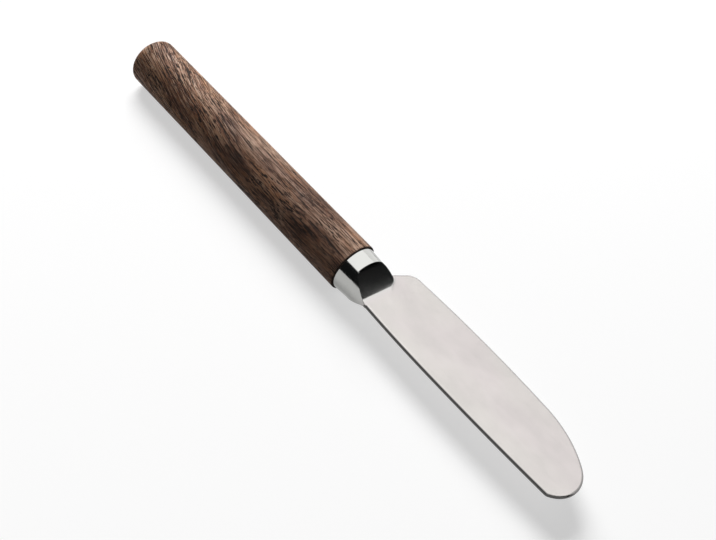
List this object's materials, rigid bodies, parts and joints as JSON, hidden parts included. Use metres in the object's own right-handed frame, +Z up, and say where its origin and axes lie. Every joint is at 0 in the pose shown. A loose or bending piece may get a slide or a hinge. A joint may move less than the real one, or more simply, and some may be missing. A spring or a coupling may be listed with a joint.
{
  "type": "butter knife",
  "caption": "Small butter knife: flat blade with a rounded tip and a stepped heel, polished steel bolster with two scoops, and a straight round wooden handle.",
  "frame": {"origin": "centre of the handle's flat butt end, on the handle's axis", "axes": "+X along the knife from butt to tip, +Y towards the spreading edge, +Z up off the blade's face"},
  "size_m": [0.1886, 0.0246, 0.016],
  "materials": {
    "wood": "oiled dark open-pored hardwood",
    "adhesive": "cured epoxy",
    "polished_steel": "mirror polished",
    "satin_steel": "fine satin"
  },
  "bodies": {
    "root": {"handle": "wood", "tang_adhesive": "adhesive", "bolster": "polished_steel", "blade": "satin_steel"}
  },
  "joints": []
}
